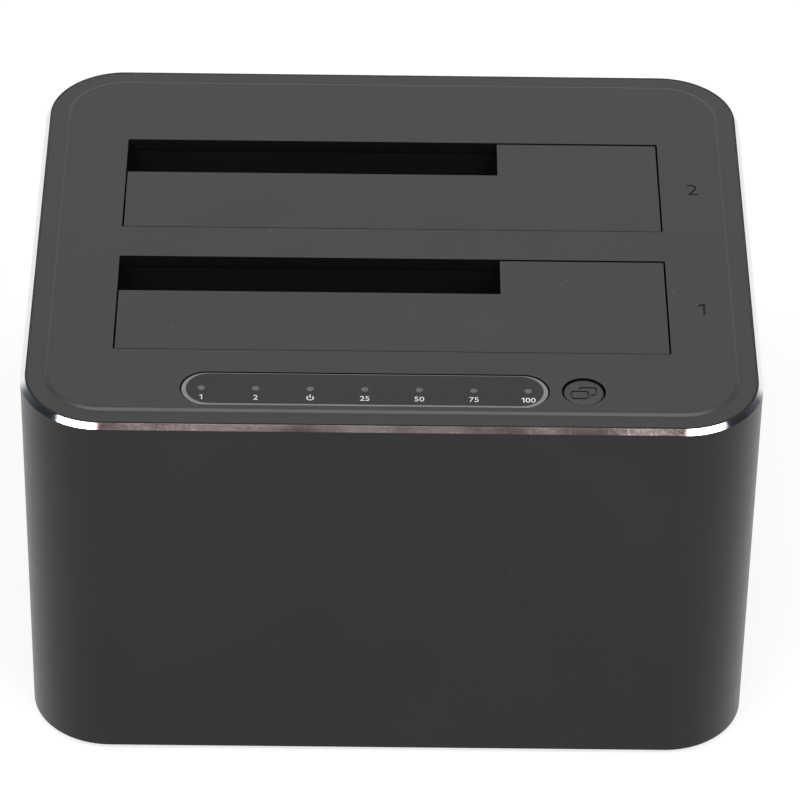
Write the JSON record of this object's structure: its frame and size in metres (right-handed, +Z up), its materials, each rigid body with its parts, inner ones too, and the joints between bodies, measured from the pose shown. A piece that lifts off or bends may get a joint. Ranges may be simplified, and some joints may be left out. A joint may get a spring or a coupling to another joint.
{
  "type": "hard drive docking station",
  "caption": "Desktop docking station with a rounded aluminium sleeve, sprung top flaps over deep drive bays, an indicator window, a clone button and rear sockets.",
  "frame": {"origin": "middle of the footprint, on the table under the feet", "axes": "+Z up, front with the indicator window towards -Y, +X to the right seen from the front"},
  "size_m": [0.137, 0.1149, 0.0799],
  "materials": {
    "anodised_aluminium": "fine bead-blasted dark anodising with a bright cut rim",
    "panel_plastic": "fine spark-eroded texture",
    "cradle_plastic": "moulded, fine grain",
    "button_plastic": "satin",
    "smoked_acrylic": "clear gloss over a dark back print",
    "milky_acrylic": "milky",
    "lamp_plastic": "smooth",
    "board_laminate": "solder mask",
    "ribbon_plastic": "smooth",
    "socket_plastic": "moulded",
    "usb_plastic": "moulded",
    "gilt_contacts": "gilt",
    "plated_shell": "nickel plate",
    "plain_steel": "zinc plate",
    "spring_steel": "drawn wire",
    "capacitor_can": "sleeved can",
    "ferrite": "pressed powder",
    "power_cap": "satin",
    "foot_rubber": "matte"
  },
  "bodies": {
    "housing": {"sleeve": "anodised_aluminium", "top_panel": "panel_plastic", "front_hinge_pin": "plain_steel", "rear_hinge_pin": "plain_steel", "front_flap_spring": "spring_steel", "rear_flap_spring": "spring_steel", "indicator_window": "smoked_acrylic", "light_guide": "milky_acrylic", "status_leds": "lamp_plastic", "control_board": "board_laminate", "control_screws": "plain_steel", "button_switch": "socket_plastic", "ribbon_cable": "ribbon_plastic", "ribbon_connectors": "ribbon_plastic", "drive_cradle": "cradle_plastic", "panel_screws": "plain_steel", "main_board": "board_laminate", "board_screws": "plain_steel", "front_sata_socket": "socket_plastic", "rear_sata_socket": "socket_plastic", "front_sata_contacts": "gilt_contacts", "rear_sata_contacts": "gilt_contacts", "bridge_chip": "socket_plastic", "regulators": "socket_plastic", "capacitors": "capacitor_can", "inductors": "ferrite", "usb_shell": "plated_shell", "usb_insert": "usb_plastic", "dc_jack": "socket_plastic", "dc_pin": "plated_shell", "power_switch": "socket_plastic", "base_plate": "cradle_plastic", "base_screws": "plain_steel", "feet": "foot_rubber"},
    "front_flap": {"front_flap": "panel_plastic"},
    "rear_flap": {"rear_flap": "panel_plastic"},
    "clone_button": {"clone_button": "button_plastic", "button_plunger": "lamp_plastic"},
    "power_button": {"power_button": "power_cap"}
  },
  "joints": [
    {"name": "front_flap_hinge", "type": "hinge", "parent": "housing", "child": "front_flap", "pos_m": [0, -0.03775, 0.0752], "axis": [-1, 0, 0], "range_deg": [0, 90], "stiffness_Nm_per_rad": 0.012, "springref_deg": -34.38, "deforming": ["front_flap_spring"]},
    {"name": "rear_flap_hinge", "type": "hinge", "parent": "housing", "child": "rear_flap", "pos_m": [0, 0.00025, 0.0752], "axis": [-1, 0, 0], "range_deg": [0, 90], "stiffness_Nm_per_rad": 0.012, "springref_deg": -34.38, "deforming": ["rear_flap_spring"]},
    {"name": "clone_button_press", "type": "slide", "parent": "housing", "child": "clone_button", "axis": [0, 0, -1], "range_m": [0, 0.0005], "stiffness_N_per_m": 2500, "springref_m": -0.0002},
    {"name": "power_button_press", "type": "slide", "parent": "housing", "child": "power_button", "axis": [0, -1, 0], "range_m": [0, 0.0012]}
  ]
}
